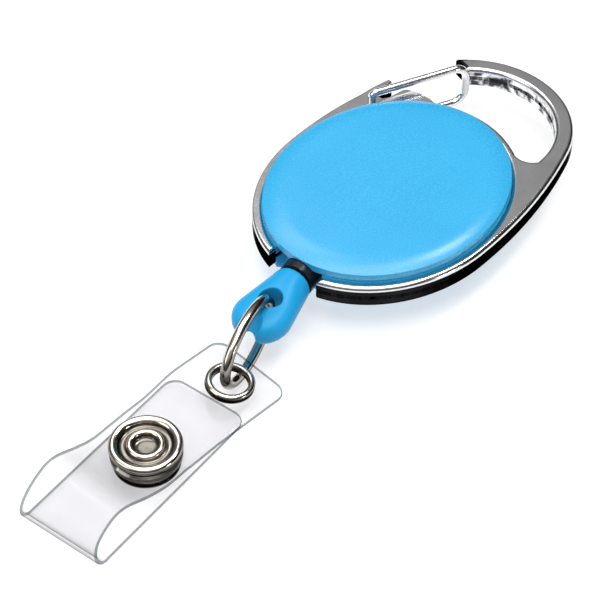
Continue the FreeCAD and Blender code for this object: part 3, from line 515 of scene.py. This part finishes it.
rim_loop = tidy_loop(section_loop("carabiner_frame", frame_high.z - 0.8 * MM), 0.02 * MM, 0.45 * MM)
# walls and lower edges get the painted wall shade, the opening's wall painted reflections
plate = bevelled_plate("carabiner_plate", rim_loop, frame_low.z, frame_high.z, 0.65 * MM,
                       (satin, satin, painted_wall_shade, inner_chrome_painted_reflections), edge_share)
flange_level = (frame_low.z + frame_high.z) / 2
flange_loop = tidy_loop(section_loop("carabiner_frame", flange_level), 0.02 * MM, 0.1 * MM)
flange = bevelled_plate("carabiner_flange", flange_loop, flange_level - 0.4 * MM, flange_level + 0.4 * MM,
                        0.05 * MM, (satin, satin, painted_wall_shade))
for thing in (plate, flange):
    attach(thing, "housing")
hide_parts("carabiner_frame")

# the opening's wall is polished, with painted reflections, and the end of the nose gets the walls' painted
# shade
OPENING_REACH, OPENING_START, NOSE_REACH = 13.4 * MM, 17 * MM, 1.5 * MM
NOSE_ANGLE = math.radians(46.3)
end_centre = Vector((20.1 * MM, 0))
nose_end = end_centre + Vector((math.cos(NOSE_ANGLE), math.sin(NOSE_ANGLE))) * 13.8 * MM
for face in plate.data.polygons:
    flat = face.center.xy
    near_opening = (flat - end_centre).length < OPENING_REACH and flat.x > OPENING_START
    if face.material_index == WALL and near_opening:
        face.material_index = OPENING_WALL
    if face.material_index in (EDGE_ROUND, OPENING_WALL) and (flat - nose_end).length < NOSE_REACH:
        face.material_index = WALL


# ---------------------------------------------------------------- connector

joints = {joint["name"]: joint for joint in frame["joints"]}
pull = Vector(joints["cord_pull"]["axis"]).normalized()
eye_hole = Vector(joints["ring_swing"]["pos_m"])
UP = Vector((0, 0, 1))

# in mm along the link from its ferrule end
LINK_HOLE_X, LINK_HEAD_X, LINK_TIP_X, LINK_NOSE_X = 5.9, 8.1, 12.35, 9.4
LINK_BARREL_R, LINK_HEAD_R = 2.68, 4.28
LINK_BARREL_RISE, LINK_HEAD_DROP = 2.66, 0.58
LINK_LEAD_IN, LINK_LEAD_SHRINK = 0.35, 0.08
LINK_STATIONS, LINK_AROUND = 56, 64


def link_station(x):
    """Half width, half height and squareness of the link's section at x."""
    slope = math.asin((LINK_HEAD_R - LINK_BARREL_R) / LINK_HEAD_X)
    if x < LINK_HEAD_X - LINK_HEAD_R * math.sin(slope):
        half_width = LINK_BARREL_R / math.cos(slope) + x * math.tan(slope)
    else:
        half_width = math.sqrt(max(LINK_HEAD_R ** 2 - (x - LINK_HEAD_X) ** 2, 0))
    flatter = limited((x - 1.5) / 6.0)
    flatter = flatter * flatter * (3 - 2 * flatter)
    nose = max((x - LINK_NOSE_X) / (LINK_TIP_X - LINK_NOSE_X), 0)
    half_height = (LINK_BARREL_RISE - LINK_HEAD_DROP * flatter) * math.sqrt(max(1 - nose ** 2.4, 0))
    lead = min(x / LINK_LEAD_IN, 1)
    shrink = math.sqrt(max(1 - (1 - lead) ** 2, 0)) * LINK_LEAD_SHRINK + 1 - LINK_LEAD_SHRINK
    return half_width * shrink, half_height * shrink, 2.0 + 0.45 * flatter


def connector():
    """Teardrop link: round at the ferrule, wide and flatter at the eye, with a channel to its tip."""
    verts, faces = [], []
    for i in range(LINK_STATIONS + 1):
        x = LINK_TIP_X * (1 - (1 - i / LINK_STATIONS) ** 2)
        half_width, half_height, power = link_station(x)
        for k in range(LINK_AROUND):
            turn = 2 * math.pi * k / LINK_AROUND
            c, d = math.cos(turn), math.sin(turn)
            y = math.copysign(abs(c) ** (2 / power), c) * half_width
            z = math.copysign(abs(d) ** (2 / power), d) * half_height
            verts.append((x * MM, y * MM, z * MM))
    for i in range(LINK_STATIONS):
        this, following = i * LINK_AROUND, (i + 1) * LINK_AROUND
        for k in range(LINK_AROUND):
            m = (k + 1) % LINK_AROUND
            faces.append((this + k, following + k, following + m, this + m))
    faces.append(tuple(range(LINK_AROUND)))
    mesh = outward_mesh("link_body", verts, faces, [0] * len(faces), 2e-6)
    start = eye_hole - pull * LINK_HOLE_X * MM
    mesh.transform(Matrix.Translation(start) @ Matrix((pull, UP.cross(pull), UP)).transposed().to_4x4())
    thing = add_object("link_connector", mesh, blue_gloss)
    cut_through(thing, eye_hole + pull * 0.10 * MM, UP, 1.72)
    for sign in (1, -1):
        cut_through(thing, start + (pull * 12.6 + UP * sign * 3.75) * MM, pull - UP * sign * 0.06, 2.1)
        cut_through(thing, start + (pull * 12.13 + UP * sign * 1.84) * MM, pull - UP * sign, 1.9)
    remesh = thing.modifiers.new("remesh", "REMESH")
    remesh.mode = "VOXEL"
    remesh.voxel_size = 0.12 * MM
    relax = thing.modifiers.new("relax", "SMOOTH")
    relax.factor = 0.5
    relax.iterations = 9
    apply_modifiers(thing)
    thing.data.shade_smooth()
    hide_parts("cord_end_connector")
    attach(thing, "connector")


connector()


# ---------------------------------------------------------------- cord between the guide and the ferrule


def pulled_cord():
    """The short lead, a copy of the CAD lead's mesh in the braided cord finish."""
    thing = add_object("cord_lead_braid", nodes["cord_lead"].data.copy(), cord_black)
    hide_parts("cord_lead")
    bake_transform(thing)


pulled_cord()


# ---------------------------------------------------------------- clear strap

# lengths in mm, from the snap's centre, with x towards the eyelet
SNAP = Vector((-55.1, -4.6, 0)) * MM
STRAP_YAW, FRONT_YAW = math.radians(4.7), math.radians(-1.2)
EYELET_DROP, EYELET_ROLL = math.radians(4.8), math.radians(5.5)
STRAP_HALF, SHEET_HALF, STRAP_CORNER = 6.5, 0.25, 2.0
EDGE_CHAMFER, EDGE_BULGE = 0.06, 0.05
FLAT_REACH, FLAT_Z, STRAP_END = 5.3, 2.75, 20.4
TWIST_END, TWIST_END_Z = 12.2, 2.95
LOWER_START, LOWER_END, LOWER_Z = -12.8, 13.35, 0.60
EYELET_BORE, SNAP_BORE = 2.87, 2.62
strap_place = Matrix.Translation(SNAP) @ Matrix.Rotation(STRAP_YAW, 4, "Z")
eyelet_turn = Matrix.Rotation(FRONT_YAW, 4, "Z") @ Matrix.Rotation(EYELET_DROP, 4, "Y")
eyelet_turn = eyelet_turn @ Matrix.Rotation(EYELET_ROLL, 4, "X")
eyelet_low, eyelet_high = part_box("eyelet_grommet")
eyelet_centre = (eyelet_low + eyelet_high) / 2

# the fold's right and left edges, as (x, height)
FOLD_RIGHT = [(-3.4, 3.20), (-7.0, 4.60), (-11.0, 6.70), (-13.2, 7.20), (-15.2, 6.60), (-16.9, 5.30),
              (-17.5, 3.60), (-17.3, 1.90), (-16.3, 0.68), (-14.8, 0.60)]
FOLD_LEFT = [(-3.2, 3.20), (-6.6, 4.60), (-9.8, 6.20), (-11.9, 6.55), (-14.2, 5.80), (-16.1, 4.50),
             (-17.2, 2.95), (-17.2, 1.65), (-16.2, 0.68), (-14.8, 0.60)]
FOLD_STEPS = 9
# rows of points across the sheet: close together at a rounded end, then evenly spaced
END_ROWS = (0, 0.02, 0.06, 0.12, 0.2, 0.3, 0.45, 0.62, 0.82, 1.05, 1.3, 1.6, 2.0)
ROW_GAP, UPPER_ROWS, LOWER_ROWS = 0.5, 33, 48
# shares of the half width: a narrow strip of the edge's own finish at each side
EDGE_STRIP, COLUMNS = 0.984, 14


def spline(points, steps):
    """Catmull-Rom curve through the points."""
    out = []
    for i in range(len(points) - 1):
        a = points[max(i - 1, 0)]
        b, c = points[i], points[i + 1]
        d = points[min(i + 2, len(points) - 1)]
        for k in range(steps):
            t = k / steps
            out.append(0.5 * (2 * b + (c - a) * t + (2 * a - 5 * b + 4 * c - d) * t * t
                              + (3 * b - a - 3 * c + d) * t ** 3))
    out.append(points[-1])
    return out


def front_edge(x, side):
    """Point on the strap's right (-1) or left (+1) edge between the snap and the eyelet end."""
    run = TWIST_END - FLAT_REACH
    t = limited((x - FLAT_REACH) / run)
    ease = t * t * (3 - 2 * t)
    fall = math.tan(EYELET_DROP)
    z = FLAT_Z + (TWIST_END_Z - FLAT_Z) * ease + run * fall * t * t * (1 - t)
    z -= fall * max(x - TWIST_END, 0)
    roll = EYELET_ROLL * ease
    veer = STRAP_YAW - FRONT_YAW
    slide = veer * limited(x / 2)
    return Vector((x + side * math.sin(slide) * STRAP_HALF,
                   -math.tan(veer) * x + side * STRAP_HALF * math.cos(roll),
                   z + side * STRAP_HALF * math.sin(roll)))


def strap_sheet(name, rights, lefts, rounded):
    """Clear sheet between two edge lines; rounded says which of its two ends is rounded and closed."""
    inner = [-EDGE_STRIP + 2 * EDGE_STRIP * k / COLUMNS for k in range(1, COLUMNS)]
    shares = [-1, -EDGE_STRIP] + inner + [EDGE_STRIP, 1]
    count = len(rights)
    middles = [(a + b) / 2 for a, b in zip(rights, lefts)]
    travel = [0.0]
    for a, b in zip(middles, middles[1:]):
        travel.append(travel[-1] + (b - a).length)
    verts, kinds, faces = [], [], []
    for i in range(count):
        ahead_way = (middles[min(i + 1, count - 1)] - middles[max(i - 1, 0)]).normalized()
        side_way = (lefts[i] - rights[i]).normalized()
        normal = ahead_way.cross(side_way).normalized()
        half = (lefts[i] - rights[i]).length / 2
        for gap, wanted in zip((travel[i], travel[-1] - travel[i]), rounded):
            if wanted and gap < STRAP_CORNER:
                half += math.sqrt(max(STRAP_CORNER ** 2 - (STRAP_CORNER - gap) ** 2, 0)) - STRAP_CORNER
        rises = [SHEET_HALF - (EDGE_CHAMFER if abs(share) == 1 else 0) for share in shares]
        ring = [(share * half, rise) for share, rise in zip(shares, rises)]
        ring.append((half + EDGE_BULGE, 0.0))
        ring += [(share * half, -rise) for share, rise in zip(reversed(shares), reversed(rises))]
        ring.append((-half - EDGE_BULGE, 0.0))
        for off, up in ring:
            verts.append(strap_place @ ((middles[i] + side_way * off + normal * up) * MM))
    top_count = len(shares)
    size = 2 * top_count + 2
    for i in range(count - 1):
        for k in range(size):
            m = (k + 1) % size
            faces.append((i * size + k, (i + 1) * size + k, (i + 1) * size + m, i * size + m))
            on_edge = k % (top_count + 1) in (0, top_count - 2, top_count - 1, top_count)
            kinds.append(1 if on_edge else 0)
    for wanted, base in zip(rounded, (0, (count - 1) * size)):
        if wanted:
            faces.append(tuple(base + k for k in range(size)))
            kinds.append(1)
    mesh = outward_mesh(name, verts, faces, kinds)
    shade(mesh, 40)
    return add_object(name, mesh, vinyl, vinyl_edge)


def strap():
    """Upper layer from the eyelet end into the fold, and the fold's end with the lower layer."""
    front_xs = [STRAP_END - d for d in END_ROWS]
    front_xs += [STRAP_END - STRAP_CORNER - ROW_GAP * k for k in range(1, UPPER_ROWS + 1)]
    lower_xs = [LOWER_START + ROW_GAP * k for k in range(1, LOWER_ROWS + 1)]
    lower_xs += [LOWER_END - d for d in reversed(END_ROWS)]
    uppers, lowers = [], []
    for side, fold in ((-1, FOLD_RIGHT), (1, FOLD_LEFT)):
        knots = [front_edge(1.5, side), front_edge(0.5, side)]
        knots += [Vector((x, side * STRAP_HALF, z)) for x, z in fold]
        knots.append(Vector((LOWER_START, side * STRAP_HALF, LOWER_Z)))
        curve = spline(knots, FOLD_STEPS)
        split = len(curve) * 6 // 11
        uppers.append([front_edge(x, side) for x in front_xs] + curve[:split + 1])
        lowers.append(curve[split:] + [Vector((x, side * STRAP_HALF, LOWER_Z)) for x in lower_xs])
    upper = strap_sheet("strap_top_layer", *uppers, (True, False))
    lower = strap_sheet("strap_fold_and_return", *lowers, (False, True))
    snap_centre = strap_place @ Vector((0, 0, 2 * MM))
    cut_through(upper, eyelet_centre, eyelet_turn @ UP, EYELET_BORE)
    cut_through(upper, snap_centre, UP, SNAP_BORE)
    cut_through(lower, snap_centre, UP, SNAP_BORE)
    for thing in (upper, lower):
        shade(thing.data, 40)
    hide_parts("strap_upper")
    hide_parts("strap_lower")
    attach(upper, "strap_upper")
    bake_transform(lower)


strap()


# ---------------------------------------------------------------- snap and eyelet

# closed profiles of (radius, height) in mm
SNAP_CAP = [(0, 2.90), (0.9, 2.905), (1.45, 2.94), (1.64, 3.05), (1.70, 3.30), (1.73, 3.62), (1.82, 3.82),
            (2.00, 3.92), (2.22, 3.94), (2.44, 3.86), (2.58, 3.68), (2.64, 3.44), (2.70, 3.30), (2.84, 3.24),
            (3.10, 3.22), (3.40, 3.23), (3.56, 3.30), (3.64, 3.46), (3.72, 3.68), (3.86, 3.88),
            (4.06, 4.01), (4.30, 4.08), (4.52, 4.08), (4.74, 3.99), (4.90, 3.82), (4.98, 3.60),
            (4.99, 3.38), (4.92, 3.18), (4.76, 3.05), (4.50, 3.02), (2.60, 3.02), (2.60, 2.02),
            (1.90, 2.02), (1.90, 2.75), (0, 2.75)]
EYELET = [(2.50, -0.53), (2.50, 0.20), (2.54, 0.40), (2.64, 0.55), (2.80, 0.63), (3.00, 0.64), (3.20, 0.57),
          (3.34, 0.45), (3.42, 0.32), (3.44, 0.26), (2.84, 0.26), (2.84, -0.53)]


def turned_metal(name, profile, place, node, shaded_radii):
    """Nickel-plated turned piece on the strap, with painted shade (a darker nickel) between some radii in
    mm.
    """
    thing = lathe(name, profile, (nickel, recess_shade), place, shaded_radii)
    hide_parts(node)
    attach(thing, "strap_upper")


eyelet_base = eyelet_centre - eyelet_turn @ Vector((0, 0, 0.05 * MM))
# the cap's hole and channel and the eyelet's bore get the painted recess shade
turned_metal("snap_cap_metal", SNAP_CAP, Matrix.Translation(SNAP), "snap_cap",
             ((-1, 1.68), (2.62, 3.76)))
turned_metal("eyelet_metal", EYELET, Matrix.Translation(eyelet_base) @ eyelet_turn, "eyelet_grommet",
             ((2.4, 2.66),))


# ---------------------------------------------------------------- floor and light

FLOOR_HALF, FLOOR_LEVEL = 3.0, -0.12 * MM


def floor():
    """Pale floor that glows a little, as a lit photographer's table does."""
    mesh = bpy.data.meshes.new("floor")
    outline = ((-1, -1), (1, -1), (1, 1), (-1, 1))
    mesh.from_pydata([(x * FLOOR_HALF, y * FLOOR_HALF, FLOOR_LEVEL) for x, y in outline], [], [(0, 1, 2, 3)])
    material, _, principled = shader("floor_white", (0.45, 0.45, 0.45), Roughness=0.85)
    principled.inputs["Emission Color"].default_value = (1, 1, 1, 1)
    principled.inputs["Emission Strength"].default_value = 0.60
    add_object("floor", mesh, material)


AIM = Vector((-0.015, 0.0, 0.005))


def softbox(name, place, size, power):
    """Soft rectangular light at that place, turned towards the object."""
    light = bpy.data.lights.new(name, "AREA")
    light.shape = "RECTANGLE"
    light.size, light.size_y = size
    light.energy = power
    lamp = bpy.data.objects.new(name, light)
    scene.collection.objects.link(lamp)
    lamp.location = place
    lamp.rotation_mode = "QUATERNION"
    lamp.rotation_quaternion = (AIM - Vector(place)).to_track_quat("-Z", "Y")


DARKER_WAY = (0.753, -0.658, 0)
ROOM_STRENGTH = 0.85


def world():
    """Soft grey room: lighter overhead than near the horizon, and darker to one side."""
    room = bpy.data.worlds.new("room")
    scene.world = room
    room.use_nodes = True
    tree = room.node_tree
    background = tree.nodes["Background"]
    place = tree.nodes.new("ShaderNodeTexCoord")
    split = tree.nodes.new("ShaderNodeSeparateXYZ")
    tree.links.new(place.outputs["Generated"], split.inputs["Vector"])
    sideways = tree.nodes.new("ShaderNodeVectorMath")
    sideways.operation = "DOT_PRODUCT"
    sideways.inputs[1].default_value = DARKER_WAY
    tree.links.new(place.outputs["Generated"], sideways.inputs[0])
    shade_side = ramp(tree, sideways.outputs["Value"], 0.05, 0.65, 1.0, 0.15)
    bands = tree.nodes.new("ShaderNodeValToRGB")
    ends = bands.color_ramp.elements
    ends[0].position, ends[0].color = 0.0, (0.05, 0.05, 0.055, 1)
    ends[1].position, ends[1].color = 1.0, (1.0, 1.0, 1.0, 1)
    for height, grey in ((0.40, 0.12), (0.62, 0.46), (0.85, 0.60)):
        step = ends.new(height)
        step.color = (grey, grey, grey, 1)
    tree.links.new(split.outputs["Z"], bands.inputs["Fac"])
    tree.links.new(bands.outputs["Color"], background.inputs["Color"])
    strength = tree.nodes.new("ShaderNodeMath")
    strength.operation = "MULTIPLY"
    strength.inputs[1].default_value = ROOM_STRENGTH
    tree.links.new(shade_side, strength.inputs[0])
    tree.links.new(strength.outputs["Value"], background.inputs["Strength"])


floor()
world()
softbox("overhead", (-0.05, -0.04, 0.60), (0.50, 0.50), 2.9)
softbox("left", (-0.55, 0.25, 0.40), (0.40, 0.40), 0.9)
softbox("near_right", (0.11, -0.62, 0.16), (0.14, 0.10), 0.35)
softbox("streak", (0.330, -0.045, 0.610), (0.12, 0.12), 0.95)
softbox("far", (0.14, 0.37, 0.58), (0.36, 0.16), 0.75)
